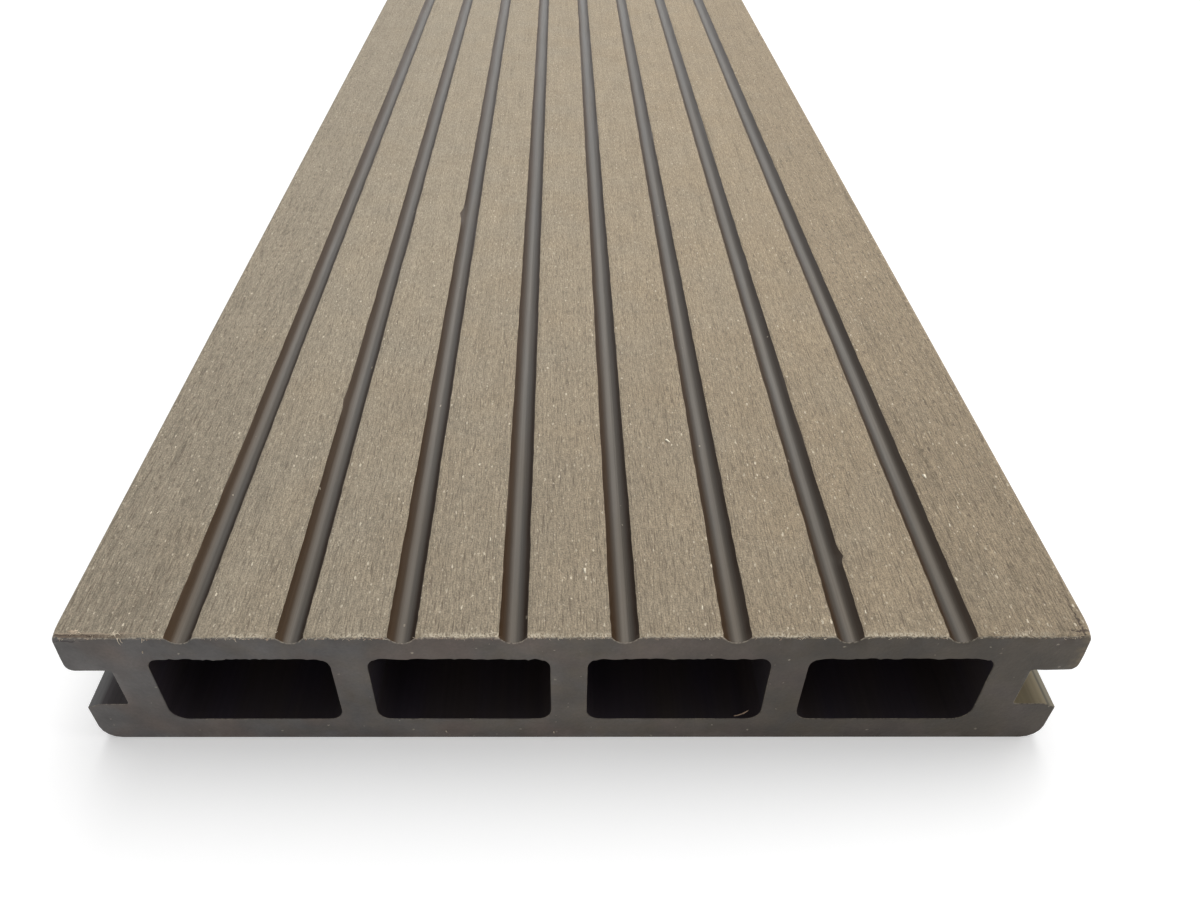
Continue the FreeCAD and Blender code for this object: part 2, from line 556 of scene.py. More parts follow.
def walking_face(surface, distance):
    """The brushed lands and the grooves. Gives the indices by ring and column."""
    columns = face_columns()
    x = np.array([c[0] for c in columns])
    z = np.array([c[1] for c in columns])
    on_land = z > THICKNESS - TINY
    from_centre = x[:, None] - np.array(GROOVE_CENTRES)
    from_centre = from_centre[np.arange(len(x)), np.argmin(np.abs(from_centre), axis=1)]
    from_arris = np.abs(from_centre) - HALF_GROOVE
    inside_edge = np.clip((HALF_WIDTH - TOP_EDGE_FILLET - np.abs(x)) / LAND_EDGE, 0, 1)
    relief = face_relief(x, distance) * on_land
    relief += LAND_ROUNDING * np.clip(1 - from_arris / LAND_EDGE, 0, 1) * on_land
    relief *= inside_edge
    fray = np.clip(1 - distance / FRAY_REACH, 0, 1)[:, None] * on_land
    droop = END_DROOP * (0.75 + 0.25 * line_noise(x / 0.8, SEED + 60))
    lowered = relief + droop * fray**2 * inside_edge
    # At the grooves' ends the bevel is wider and painted pale as a highlight
    fray += GROOVE_END_FRAY_AND_HIGHLIGHT * (distance == 0)[:, None] * ~on_land
    ring_y = NEAR_END + distance[:, None] + end_offsets(distance, x, on_land)
    points = np.stack([x + arris_shift(x, on_land, distance), ring_y, z - lowered], axis=-1)
    flank = np.clip(from_centre / HALF_GROOVE, -1, 1)
    face = surface.add(worn(points), relief=relief, fray=fray, flank=flank)
    for j in range(len(x) - 1):
        surface.grid(face[:, j], face[:, j + 1], columns[j][2])
    return face


def outside_kind(x, z):
    """The kind of surface at a place on the outline below the walking face."""
    if z > THICKNESS - TOP_EDGE_FILLET:
        return BRUSHED
    in_slot = abs(x) < HALF_WIDTH - 0.01 and SLOT_FLOOR - LIP_CHAMFER_DROP < z < SLOT_CEILING + 0.01
    return SLOT if in_slot else SKIN


def smooth_skin(surface, coarse):
    """The long edges and the underside, on some of the rings only. Gives the indices by ring and point."""
    skin = skin_outline(SKIN_STEP)[1:-1]
    along = NEAR_END + coarse[:, None] + end_offsets(coarse, skin[:, 0], np.zeros(len(skin), bool))
    at_end = ((coarse == 0) | (coarse == coarse[-1]))[:, None]
    under_flange = np.abs(skin[:, 1] - SLOT_CEILING) < 0.01
    burr = FLANGE_BURR * line_noise(skin[:, 0] / 1.1, SEED + 75) * under_flange
    flange_foot = (skin[:, 0] > SLOT_BACK + 4) & (np.abs(skin[:, 1] - SLOT_CEILING - 1) < 2)
    notches = np.clip(value_noise(skin[:, 1] / 0.4, skin[:, 0] / 0.4, SEED + 76), 0, 1)
    across = skin[:, 0] - NOTCH_DEPTH * notches * flange_foot * at_end
    height = skin[:, 1] + burr * at_end
    points = np.stack(np.broadcast_arrays(across, along, height), axis=-1)
    # At the ends the arrises' bevels are painted pale: torn fibre and painted highlight
    walls = surface.add(worn(points), fray=ARRIS_FRAY_AND_HIGHLIGHT * at_end)
    for j in range(walls.shape[1] - 1):
        surface.grid(walls[:, j], walls[:, j + 1], outside_kind(*(skin[j] + skin[j + 1]) / 2))
    return walls


def chamber_walls(surface, index):
    """One chamber's walls, with burr along the top of its mouths. Gives the outlines of both mouths."""
    rings = np.array([0.0, 0.35, 1.0, 3.0, 9.0, 25.0, 80.0])
    rings = np.r_[rings, 500, 1100, 1700, LENGTH - rings[::-1]]
    outline = chamber_outline(index, BORE_STEP)
    share = np.clip(1 - rings / BORE_REACH, 0, 1)
    fade = share + share[::-1]
    burr = line_noise(outline[:, 0] / 0.7, SEED + 80 + index)
    burr += 0.4 * line_noise(outline[:, 0] / 2.6, SEED + 90 + index)
    on_top = outline[:, 1] > THICKNESS - TOP_WALL - 0.3
    drop = np.where(on_top, BORE_BURR + BORE_BURR * burr, 0.03 * burr)
    for x, half_width, hang in LUMPS:
        drop += on_top * hang * np.exp(-(((outline[:, 0] - x) / half_width) ** 2))
    z = outline[:, 1] - fade[:, None] * drop
    y = NEAR_END + rings[:, None] + (END_MARGIN + BEVEL) * (share - share[::-1])[:, None]
    patchy = np.clip(0.5 + value_noise(outline[:, 0] / 3.0, outline[:, 1] / 3.0, SEED + 85 + index), 0, 1)
    # Painted highlight: a pale, patchy rim on the bevels of the chambers' mouths, fullest along their upper
    # edges
    fray = BORE_RIM_HIGHLIGHT * (fade == 1)[:, None] * (patchy + on_top)
    bore = surface.add(np.stack(np.broadcast_arrays(outline[:, 0], y, z), axis=-1), fray=fray)
    for j in range(bore.shape[1]):
        surface.grid(bore[:, j], bore[:, (j + 1) % bore.shape[1]], BORE, inward=True)
    return bore[0], bore[-1]


def build_board():
    """The whole board as one closed surface."""
    surface = Surface()
    distance = ring_places()
    shared = np.unique(np.r_[np.arange(0, 12, 3), np.arange(12, len(distance), 12), len(distance) - 1])
    face = walking_face(surface, distance)
    walls = smooth_skin(surface, distance[shared])
    surface.stitch(face[:, -1], walls[:, 0], shared, BRUSHED, True)
    surface.stitch(face[:, 0], walls[:, -1], shared, BRUSHED, False)
    loops = [(np.r_[face[0], walls[0]], np.r_[face[-1], walls[-1]])]
    loops += [chamber_walls(surface, index) for index in range(CHAMBERS)]
    cut_end(surface, [near for near, _ in loops], NEAR_END, SEED + 100)
    cut_end(surface, [far for _, far in loops], FAR_END, SEED + 101)
    return surface.mesh("decking_board_detailed")


def add_bevel(surface, loop, inset, end_y, outward_first):
    """A narrow bevel from an outline to the flat of a sawn end. Gives the indices of the flat's outline."""
    ring = np.concatenate(surface.points)[loop]
    along = np.roll(ring, -1, axis=0) - np.roll(ring, 1, axis=0)
    outward = np.stack([along[:, 2], -along[:, 0]], axis=1)
    outward /= np.linalg.norm(outward, axis=1)[:, None] + 1e-9
    inner = ring.copy()
    inner[:, 0] -= inset * outward[:, 0]
    inner[:, 2] -= inset * outward[:, 1]
    inner[:, 1] = end_y
    indices = surface.add(inner)
    for j in range(len(loop)):
        k = (j + 1) % len(loop)
        surface.face((loop[j], loop[k], indices[k], indices[j]), CUT, outward_first)
    return indices


def scattered(outlines, loops, seed):
    """Places spread over the flat of a sawn end, clear of its outlines."""
    grid_x, grid_z = np.meshgrid(
        np.arange(-HALF_WIDTH, HALF_WIDTH, CUT_STEP),
        np.arange(0, THICKNESS, CUT_STEP),
    )
    spread = np.stack([grid_x.ravel(), grid_z.ravel()], axis=1)
    spread += np.random.default_rng(seed).uniform(-0.3, 0.3, spread.shape) * CUT_STEP
    clear = [np.min(np.linalg.norm(outlines - p, axis=1)) > 0.4 * CUT_STEP for p in spread]
    return spread[np.array(clear) & within(spread, loops)]


def cut_end(surface, loops, end, seed):
    """A sawn end: a narrow bevel round each outline and the flat between them."""
    near = end == NEAR_END
    inwards = 1 if near else -1
    flat_y = end + END_MARGIN * inwards
    fray = np.concatenate(surface.stored["fray"])[loops[0]]
    inner_loops = [add_bevel(surface, loops[0], BEVEL + FRAYED_BEVEL * fray, flat_y, near)]
    inner_loops += [add_bevel(surface, loop, -BEVEL, flat_y, not near) for loop in loops[1:]]
    points = np.concatenate(surface.points)
    flat = [points[loop][:, [0, 2]] for loop in inner_loops]
    outlines = np.concatenate(flat)
    spread = scattered(outlines, flat, seed)
    edges = []
    for loop in flat:
        start = len(edges)
        edges += [(start + i, start + (i + 1) % len(loop)) for i in range(len(loop))]
    seen = [Vector(p) for p in np.concatenate([outlines, spread])]
    made = delaunay_2d_cdt(seen, edges, [], 1, 1e-7)
    deep = flat_y + inwards * CUT_UNEVENNESS * np.abs(value_noise(spread[:, 0] / 6, spread[:, 1] / 3, seed))
    inside = surface.add(np.stack([spread[:, 0], deep, spread[:, 1]], axis=1))
    index_of = np.concatenate(inner_loops + [inside])
    middles = np.array([np.mean([made[0][i] for i in triangle], axis=0) for triangle in made[2]])
    for triangle, solid in zip(made[2], within(middles, flat)):
        if solid:
            surface.face([index_of[made[3][i][0]] for i in triangle], CUT, near)


def within(places, loops):
    """Which x, z places lie inside an odd number of the loops' outlines, so in the solid."""
    odd = np.zeros(len(places), bool)
    for loop in loops:
        for (x1, z1), (x2, z2) in zip(loop, np.roll(loop, -1, axis=0)):
            if z1 != z2:
                crosses = (z1 > places[:, 1]) != (z2 > places[:, 1])
                odd ^= crosses & (places[:, 0] < x1 + (places[:, 1] - z1) * (x2 - x1) / (z2 - z1))
    return odd


class Recipe:
    """A material's nodes, added one by one, and its colour so far. Sizes are in millimetres on the board."""

    def __init__(self, name, roughness, specular, colour):
        self.material = bpy.data.materials.new(name)
        self.material.use_nodes = True
        self.tree = self.material.node_tree
        self.shader = self.tree.nodes["Principled BSDF"]
        self.set("Roughness", roughness)
        self.set("Specular IOR Level", specular)
        self.place = self.node("ShaderNodeTexCoord", {}).outputs["Object"]
        self.tone = (*colour, 1)

    def put(self, socket, value):
        """Links a socket to the input, or writes a plain value there."""
        if isinstance(value, bpy.types.NodeSocket):
            self.tree.links.new(value, socket)
        else:
            socket.default_value = value

    def set(self, name, value):
        """Gives one of the shader's inputs its value."""
        self.put(self.shader.inputs[name], value)

    def node(self, kind, values, **settings):
        """A new node with its settings and the values of its inputs."""
        made = self.tree.nodes.new(kind)
        for name, value in settings.items():
            setattr(made, name, value)
        for name, value in values.items():
            self.put(made.inputs[name], value)
        return made

    def math(self, operation, first, second):
        return self.node("ShaderNodeMath", {0: first, 1: second}, operation=operation).outputs[0]

    def product(self, *factors):
        """Several numbers multiplied."""
        result = factors[0]
        for factor in factors[1:]:
            result = self.math("MULTIPLY", result, factor)
        return result

    def stretched(self, across, along, shift, upright=False):
        """The place on the board, in cells of the given size. Upright turns z into the second number."""
        high = along if upright else across
        values = {
            "Vector": self.place,
            "Scale": (1 / (across * MM), 1 / (along * MM), 1 / (high * MM)),
            "Rotation": (-math.pi / 2 if upright else 0, 0, 0),
            "Location": (shift, 1.7 * shift, 0.3 * shift),
        }
        return self.node("ShaderNodeMapping", values).outputs[0]

    def noise(self, across, along, shift, detail=2.0):
        """Noise from 0 to 1, mostly near 0.5."""
        values = {"Vector": self.stretched(across, along, shift), "Scale": 1.0, "Detail": detail}
        return self.node("ShaderNodeTexNoise", values).outputs["Fac"]

    def ranged(self, value, low, high, to_low=0.0, to_high=1.0):
        """A value scaled from one range to another and kept inside it."""
        values = {"Value": value, "From Min": low, "From Max": high, "To Min": to_low, "To Max": to_high}
        return self.node("ShaderNodeMapRange", values).outputs["Result"]

    def varied(self, across, along, shift, low, high, detail=2.0):
        """Noise that goes from a low to a high value."""
        return self.ranged(self.noise(across, along, shift, detail), 0.3, 0.7, low, high)

    def between(self, coordinate, start, end, to_low=0.0, to_high=1.0):
        """A value that follows a coordinate from one place to another."""
        return self.ranged(coordinate, start * MM, end * MM, to_low, to_high)

    def flecks(self, across, along, size, share, shift, upright=False):
        """Small separate spots, in a share of the cells. Gives up to 1 inside them and 0 elsewhere."""
        wobble = self.node("ShaderNodeTexNoise", {"Vector": self.stretched(0.25, 0.35, shift), "Scale": 1.0})
        cells = self.stretched(across, along, shift, upright)
        values = {0: wobble.outputs["Color"], 1: (2.5 * size, 2.5 * size, 0), 2: cells}
        ragged = self.node("ShaderNodeVectorMath", values, operation="MULTIPLY_ADD")
        values = {"Vector": ragged.outputs[0], "Scale": 1.0}
        spot = self.node("ShaderNodeTexVoronoi", values, voronoi_dimensions="2D").outputs
        chance = self.node("ShaderNodeSeparateColor", {"Color": spot["Color"]}).outputs
        reach = self.ranged(chance["Green"], 0.0, 1.0, 0.35 * size, 1.3 * size)
        near = self.ranged(self.math("DIVIDE", spot["Distance"], reach), 0.6, 1.0, 1.0, 0.0)
        chosen = self.ranged(chance["Red"], share - 0.01, share, 1.0, 0.0)
        return self.product(near, chosen, self.ranged(chance["Blue"], 0.0, 1.0, 0.35, 1.0))

    def tint(self, factor, colour):
        """Mixes a share of another colour into the one so far."""
        made = self.node("ShaderNodeMix", {"Factor": factor}, data_type="RGBA")
        first, second = [s for s in made.inputs if s.type == "RGBA"]
        self.put(first, self.tone)
        self.put(second, (*colour, 1))
        self.tone = [s for s in made.outputs if s.type == "RGBA"][0]

    def shade(self, *factors):
        """Makes the colour so far lighter or darker."""
        values = {0: self.tone, "Scale": self.product(*factors)}
        self.tone = self.node("ShaderNodeVectorMath", values, operation="SCALE").outputs[0]

    def coordinates(self):
        """The place's x, y and z, in metres."""
        return self.node("ShaderNodeSeparateXYZ", {0: self.place}).outputs

    def stored(self, name):
        """A number kept at the mesh's points."""
        return self.node("ShaderNodeAttribute", {}, attribute_name=name).outputs["Fac"]

    def crack(self, along, start, end, across, level, half):
        """A wandering, broken line at a level of one coordinate, fading in from start to end of the other."""
        wander = self.varied(0.8, 0.8, 70.0, -CRACK_WANDER * MM, CRACK_WANDER * MM)
        gap = self.math("SUBTRACT", self.math("ADD", across, wander), level * MM)
        line = self.between(self.math("ABSOLUTE", gap, 0.0), 0.6 * half, 1.4 * half, 1.0, 0.0)
        broken = self.ranged(self.noise(0.7, 0.7, 71.0), 0.36, 0.46)
        return self.product(line, broken, self.between(along, start, end))

    def finished(self, height, distance):
        """The material in its colour, with fine unevenness of at most the given distance."""
        bump = self.node("ShaderNodeBump", {"Distance": distance * MM, "Height": height})
        self.set("Normal", bump.outputs[0])
        self.set("Base Color", self.tone)
        return self.material


def colour_sawn_edge(look, x, y):
    """The frayed, crushed and cracked edge of the lands, beside the saw's cut."""
    fray = look.stored("fray")
    torn = look.ranged(look.noise(0.26, 0.4, 9.0), 0.40, 0.58)
    thick = look.ranged(look.noise(8, 8, 14.0), 0.38, 0.62, 0.15, 1.3)
    at_left = look.between(x, *FRAY_FADES)
    fibres = look.product(fray, torn, thick, look.math("SUBTRACT", 1.0, at_left))
    look.tint(look.ranged(fibres, 0.0, 1.0, 0.0, 0.80), WOOD_PALE)
    ragged = look.math("ADD", fray, look.varied(0.9, 0.5, 16.0, -0.12, 0.12))
    tan_line = look.product(look.ranged(ragged, 0.05, 0.18), look.ranged(ragged, 0.34, 0.46, 1.0, 0.0))
    look.tint(look.product(tan_line, at_left, 0.5), ARRIS_TAN)
    crushed = look.product(look.ranged(ragged, 0.36, 0.50), look.between(x, *CRUSHED_FROM), 0.75)
    look.tint(crushed, ARRIS_BROWN)
    start, end, level, half = EDGE_CRACK
    cracks = look.crack(y, NEAR_END + start, NEAR_END + end, x, level, half)
    for start, end, distance, half in ARRIS_CRACKS:
        cracks = look.math("MAXIMUM", cracks, look.crack(x, start, end, y, NEAR_END + distance, half))
    look.tint(look.product(cracks, 0.85), CRACK_DARK)


def brushed_material():
    """The lands: grey-brown composite, roughened lengthwise, with pale wood flecks and dark scratches."""
    look = Recipe("brushed_composite", 0.82, 0.35, BRUSHED_GREY)
    x, y, _ = look.coordinates()
    from_middle = look.math("ABSOLUTE", x, 0.0)
    cloud = look.math("ADD", look.between(x, -HALF_WIDTH, HALF_WIDTH), look.noise(14, 14, 1.0))
    look.tint(look.ranged(cloud, 0.6, 1.4), BRUSHED_WARM)
    streaks = look.varied(0.22, 1.7, 2.0, 0.73, 1.27)
    long_streaks = look.varied(0.4, 14, 3.0, 0.90, 1.10)
    blotches = look.varied(7, 9, 4.0, 0.96, 1.04)
    grain = look.varied(0.20, 0.28, 5.0, 0.70, 1.30)
    depth = look.ranged(look.stored("relief"), 0.05, 0.30, 1.03, 0.72)
    # Painted shade: the face is darker near the end, where it catches less sheen than farther on
    near_shade = look.between(y, NEAR_END, NEAR_END + NEAR_SHADE_LENGTH, 0.84, 1.0)
    inner = look.between(from_middle, *INNER_LANDS, 1.07, 0.99)
    look.shade(streaks, long_streaks, blotches, grain, depth, near_shade, inner)
    on_strip = look.between(from_middle, HALF_WIDTH - EDGE_STRIP, HALF_WIDTH)
    nearby = look.between(y, NEAR_END + LINES_FADE[0], NEAR_END + LINES_FADE[1], 0.045, 0.0)
    likely = look.math("ADD", nearby, look.product(on_strip, 0.04))
    lines = look.math("ADD", look.noise(0.20, 3.6, 6.0, 1.0), likely)
    look.tint(look.ranged(lines, 0.65, 0.76, 0.0, 0.65), SCRATCH_DARK)
    pits = look.product(look.flecks(0.9, 2.6, 0.16, 0.10, 7.0), 0.45)
    tears = look.product(look.flecks(1.3, 2.4, 0.20, 0.45, 13.0), look.ranged(on_strip, 0.0, 0.1), 0.75)
    look.tint(look.math("MAXIMUM", pits, tears), SCRATCH_DARK)
    look.tint(look.product(look.flecks(0.7, 1.5, 0.14, 0.28, 8.0), 0.65), WOOD_PALE)
    clusters = look.ranged(look.noise(6, 9, 15.0), 0.42, 0.58, 0.15, 1.0)
    look.tint(look.product(look.flecks(1.3, 3.0, 0.12, 0.50, 12.0), clusters), WOOD_PALE)
    colour_sawn_edge(look, x, y)
    look.set("Sheen Weight", 0.10)
    look.set("Sheen Roughness", 0.6)
    look.set("Sheen Tint", (1.0, 0.90, 0.74, 1))
    return look.finished(look.math("ADD", look.noise(0.30, 3, 10.0), look.noise(0.25, 0.5, 11.0)), 0.14)


def groove_material():
    """The grooves: smooth dark skin with fine lengthwise lines and a dull shine, and painted shade on their
    flanks, brown on the left flank and almost black on the right.
    """
    look = Recipe("groove_skin", 0.34, 0.38, GROOVE_BROWN)
    look.set("Specular Tint", (1.0, 0.84, 0.67, 1))
    look.tint(look.ranged(look.noise(3, 30, 21.0), 0.35, 0.65), GROOVE_GREY)
    # Painted shade: the flanks darken towards the arrises, the right flank most
    flank = look.stored("flank")
    look.tint(look.ranged(flank, *LEFT_FLANK_SHADE), FLANK_SHADE_BROWN)
    look.tint(look.ranged(flank, *RIGHT_FLANK_SHADE), FLANK_SHADE_BLACK)
    lines = look.noise(0.22, 60, 20.0)
    look.shade(look.ranged(lines, 0.3, 0.7, 0.85, 1.15))
    look.tint(look.product(look.flecks(3.0, 6.0, 0.05, 0.05, 22.0), 0.4), WOOD_PALE)
    look.set("Roughness", look.varied(0.8, 20, 23.0, 0.28, 0.38))
    return look.finished(lines, 0.02)


def skin_material():
    """The long edges and the underside: dark extruded skin, slightly cloudy, with fine die lines."""
    look = Recipe("extruded_skin", 0.50, 0.50, SKIN_BROWN)
    look.tint(look.ranged(look.noise(12, 40, 31.0), 0.35, 0.65), SKIN_GREY)
    lines = look.noise(0.35, 90, 30.0)
    look.shade(look.ranged(lines, 0.3, 0.7, 0.9, 1.1))
    look.tint(look.product(look.flecks(3.0, 5.0, 0.05, 0.12, 32.0), 0.4), WOOD_PALE)
    look.set("Roughness", look.varied(2, 30, 33.0, 0.44, 0.58))
    return look.finished(look.math("ADD", lines, look.noise(1.5, 4, 34.0)), 0.03)


def cut_material():
    """The sawn ends: dark grey with cloudy patches, pale flecks and shallow saw marks, with painted shade
    darkening them to the right, and pale bevels of torn fibre and painted highlight.
    """
    look = Recipe("sawn_composite", 0.62, 0.45, CUT_BLUE)
    x, _, z = look.coordinates()
    cloud = look.math("ADD", look.between(x, -HALF_WIDTH, HALF_WIDTH), look.noise(4, 4, 40.0))
    look.tint(look.ranged(cloud, 0.6, 1.4), CUT_BROWN)
    look.tint(look.ranged(look.noise(9, 6, 47.0, 1.0), 0.50, 0.72), CUT_RED)
    smears = look.ranged(look.noise(6, 4, 46.0, 4.0), 0.33, 0.67, 0.78, 1.20)
    grain = look.varied(0.4, 0.4, 41.0, 0.92, 1.08, detail=3.0)
    # Painted shade: the sawn face darkens to the right
    look.shade(smears, grain, look.between(x, *CUT_PAINTED_SHADE, 1.08, 0.60))
    look.tint(look.product(look.flecks(1.9, 1.6, 0.10, 0.12, 42.0, upright=True), 0.35), WOOD_PALE)
    # Pale along the bevels: torn fibre at the lands, painted highlight at the grooves' ends, the other
    # arrises and the chambers' rims
    torn = look.ranged(look.noise(0.5, 0.5, 43.0), 0.36, 0.62)
    look.tint(look.product(look.stored("fray"), torn, 0.6), WOOD_PALE)
    on_flange = look.between(z, SLOT_CEILING + 0.3, SLOT_CEILING + 1.5)
    patches = look.ranged(look.noise(1.2, 1.2, 48.0), 0.35, 0.6)
    look.tint(look.product(look.between(x, *SCUFFED), on_flange, patches, 0.8), SCUFF_OLIVE)
    start, end, below, half = CORNER_SPLIT
    # The split below the left front corner, painted in the chambers' almost black
    look.tint(look.product(look.crack(x, start, end, z, THICKNESS - below, half), 0.9), BORE_SHADE_BROWN)
    return look.finished(look.math("ADD", look.noise(0.5, 0.5, 44.0, 3.0), look.noise(1.8, 1.8, 45.0)), 0.06)


def slot_material():
    """The clip slots and the lips' chamfers, in painted light and shade: painted shadow on the left, lit
    olive on the right, and along the lips a painted lit strip on the left and a painted shade line and
    highlight on the right.
    """
    look = Recipe("slot_skin", 0.55, 0.35, SLOT_SHADOW_DARK)
    x, _, _ = look.coordinates()
    # Painted light and shade: from painted shadow on the left to painted light on the right
    look.tint(look.between(x, -HALF_WIDTH, HALF_WIDTH), SLOT_LIT_OLIVE)
    for start, end, colour in LIP_LIGHT_BANDS:
        look.tint(look.between(x, start, end), colour)
    lines = look.noise(0.4, 70, 35.0)
    look.shade(look.varied(6, 25, 36.0, 0.85, 1.15), look.ranged(lines, 0.3, 0.7, 0.88, 1.12))
    return look.finished(look.math("ADD", lines, look.noise(1.2, 3, 37.0)), 0.03)


def bore_material():
    """The chambers' walls: extruded skin painted almost black as shade."""
    look = Recipe("chamber_skin", 0.55, 0.40, BORE_SHADE_BROWN)
    look.tint(look.ranged(look.noise(6, 40, 51.0), 0.35, 0.65), BORE_SHADE_PURPLE)
    lines = look.noise(0.5, 80, 50.0)
    look.shade(look.ranged(lines, 0.3, 0.7, 0.85, 1.15))
    return look.finished(lines, 0.03)


def fibre_material():
    """Loose wood fibres and shavings, from white over cream to brown."""
    look = Recipe("wood_fibre", 0.85, 0.30, WOOD_PALE)
    look.tint(look.stored("tone"), FIBRE_BROWN)
    look.tint(look.ranged(look.stored("tone"), 0.0, -1.0), SPLINTER_WHITE)
    look.shade(look.varied(0.2, 0.2, 60.0, 0.85, 1.15))
    return look.finished(look.noise(0.08, 0.08, 61.0), 0.02)


def add_fibre(points, faces, tones, root, tip, bend, thickness, tone, height=1.0):
    """One tapered three-sided fibre from root to tip, bent in the middle. A height below 1 flattens it."""
    rings = 3
    direction = (tip - root) / np.linalg.norm(tip - root)
    side = np.cross(direction, np.array([0.3, 0.2, 0.93]) if height == 1 else np.array([0.0, 0.0, 1.0]))
    side /= np.linalg.norm(side)
    other = np.cross(direction, side)
    base = len(points)
    for ring in range(rings):
        share = ring / rings
        middle = root + (tip - root) * share + bend * math.sin(math.pi * share)
        radius = thickness / 2 * (1 - 0.6 * share)
        for turn in (0, 1, 2):
            angle = 2 * math.pi * turn / 3
            points.append(middle + radius * (math.cos(angle) * side + height * math.sin(angle) * other))
    points.append(tip)
    for ring in range(rings - 1):
        for turn in range(3):
            a = base + 3 * ring + turn
            b = base + 3 * ring + (turn + 1) % 3
            faces.append((a, b, b + 3, a + 3))
    last = base + 3 * (rings - 1)
    for turn in range(3):
        faces.append((last + turn, last + (turn + 1) % 3, base + 3 * rings))
    faces.append((base + 2, base + 1, base))
    tones += [tone] * (3 * rings + 1)


def add_tuft(points, faces, tones, rng, x, back, number, width, tone):
    """A bunch of torn fibres that stand a little out of the near arris."""
    for _ in range(number):
        root = np.array([x, NEAR_END + END_MARGIN + back, THICKNESS - TUFT_ROOT])
        root += rng.uniform(-0.3, 0.3, 3) * (1, 1, 0.03)
        heading = rng.uniform(-math.pi, math.pi)
        length = rng.uniform(*TUFT_LENGTHS)
        tip = root + length * np.array([math.cos(heading), 0.6 * math.sin(heading), 0.03])
        tip[1] = max(tip[1], NEAR_END + 0.05)
        tip[2] = min(tip[2], THICKNESS - 0.03)
        bend = rng.uniform(-0.15, 0.15, 3) * (length, length, 0)
        shade = min(1.0, max(0.0, tone + rng.uniform(-0.12, 0.12)))
        add_fibre(points, faces, tones, root, tip, bend, width * rng.uniform(0.7, 1.1), shade, FLATNESS)


def add_torn_bits(points, faces, tones):
    """The saw's tufts and fibres on the near end, the swarf in a chamber's mouth and the face's splinters."""
    rng = np.random.default_rng(SEED + 300)
    for tuft in TUFTS:
        add_tuft(points, faces, tones, rng, *tuft)
    for x, z, reach, length, thickness, tone in HANGING_FIBRES:
        root = np.array([x, NEAR_END + END_MARGIN, z])
        tip = np.array([x + reach, NEAR_END + thickness, z - length])
        bend = np.array([-0.3 * reach, -0.1, 0.0])
        add_fibre(points, faces, tones, root, tip, bend, thickness, tone)
    curl = [np.array([x, NEAR_END + back, z]) for x, back, z in SWARF]
    for start, end in zip(curl, curl[1:]):
        past_end = end + 0.4 * (end - start)
        add_fibre(points, faces, tones, start, past_end, np.zeros(3), SWARF_THICKNESS, SWARF_TONE)
    for x, distance, across, along, width, tone in SPLINTERS:
        root = np.array([x, NEAR_END + distance, THICKNESS - SPLINTER_ROOT])
        tip = root + np.array([across, along, 0.0])
        add_fibre(points, faces, tones, root, tip, np.zeros(3), width, tone, FLATNESS / 2)


def build_fibres():
    """Wood fibres torn out along the lands' sawn edge."""
    rng = np.random.default_rng(SEED + 200)
    points, faces, tones = [], [], []
    add_torn_bits(points, faces, tones)
    count = 0
    while count < FIBRES:
        x = rng.uniform(-HALF_WIDTH + 1.5, HALF_WIDTH - 1.5)
        if min(abs(x - centre) for centre in GROOVE_CENTRES) < HALF_GROOVE + 0.1:
            continue
        thick_fuzz = FUZZ_LEAST + (1 - FUZZ_LEAST) * math.exp(-(((x - FUZZ_MIDDLE) / FUZZ_SPREAD) ** 2))
        if rng.uniform() > thick_fuzz:
            continue
        count += 1
        back = rng.uniform(0, 1) ** 2 * FRAY_REACH
        z = THICKNESS - FIBRE_ROOT - END_DROOP * max(0, 1 - back) ** 2
        root = np.array([x, NEAR_END + END_MARGIN + back, z])
        heading = rng.uniform(-math.pi, math.pi)
        length = rng.uniform(*FIBRE_LENGTHS) * (1.5 if rng.uniform() < 0.1 else 1)
        rise = rng.uniform(-0.05, 0.12)
        tip = root + length * np.array([math.cos(heading), 0.7 * math.sin(heading), rise])
        tip[1] = max(tip[1], NEAR_END + 0.02)
        tip[2] = min(tip[2], THICKNESS - 0.01)
        bend = rng.uniform(-0.12, 0.12, 3) * length
        bend[2] = -abs(bend[2])
        add_fibre(points, faces, tones, root, tip, bend, rng.uniform(*FIBRE_WIDTHS), rng.uniform() ** 1.5)
    mesh = bpy.data.meshes.new("frayed_edge")
    mesh.from_pydata((np.array(points) * MM).tolist(), [], faces)
    mesh.attributes.new("tone", "FLOAT", "POINT").data.foreach_set("value", np.array(tones, np.float32))
    mesh.polygons.foreach_set("use_smooth", [True] * len(faces))
    mesh.materials.append(fibre_material())
    return mesh


def place_object(name, data):
    """Puts a new object in the scene."""
    made = bpy.data.objects.new(name, data)
    bpy.context.scene.collection.objects.link(made)
    return made


def place_piece(name, mesh):
    """Puts a mesh in the scene as a piece of the board."""
    piece = place_object(name, mesh)
    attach(piece, "root")
    return piece


def seen_directly(tree):
    """1 where a ray comes from the camera or off a glossy or clear surface, and 0 for the light itself."""
    path = tree.nodes.new("ShaderNodeLightPath")
    total = path.outputs["Is Camera Ray"]
    for name in ("Is Glossy Ray", "Is Transmission Ray"):
        larger = tree.nodes.new("ShaderNodeMath")
        larger.operation = "MAXIMUM"
        tree.links.new(total, larger.inputs[0])
        tree.links.new(path.outputs[name], larger.inputs[1])
        total = larger.outputs[0]
    return total


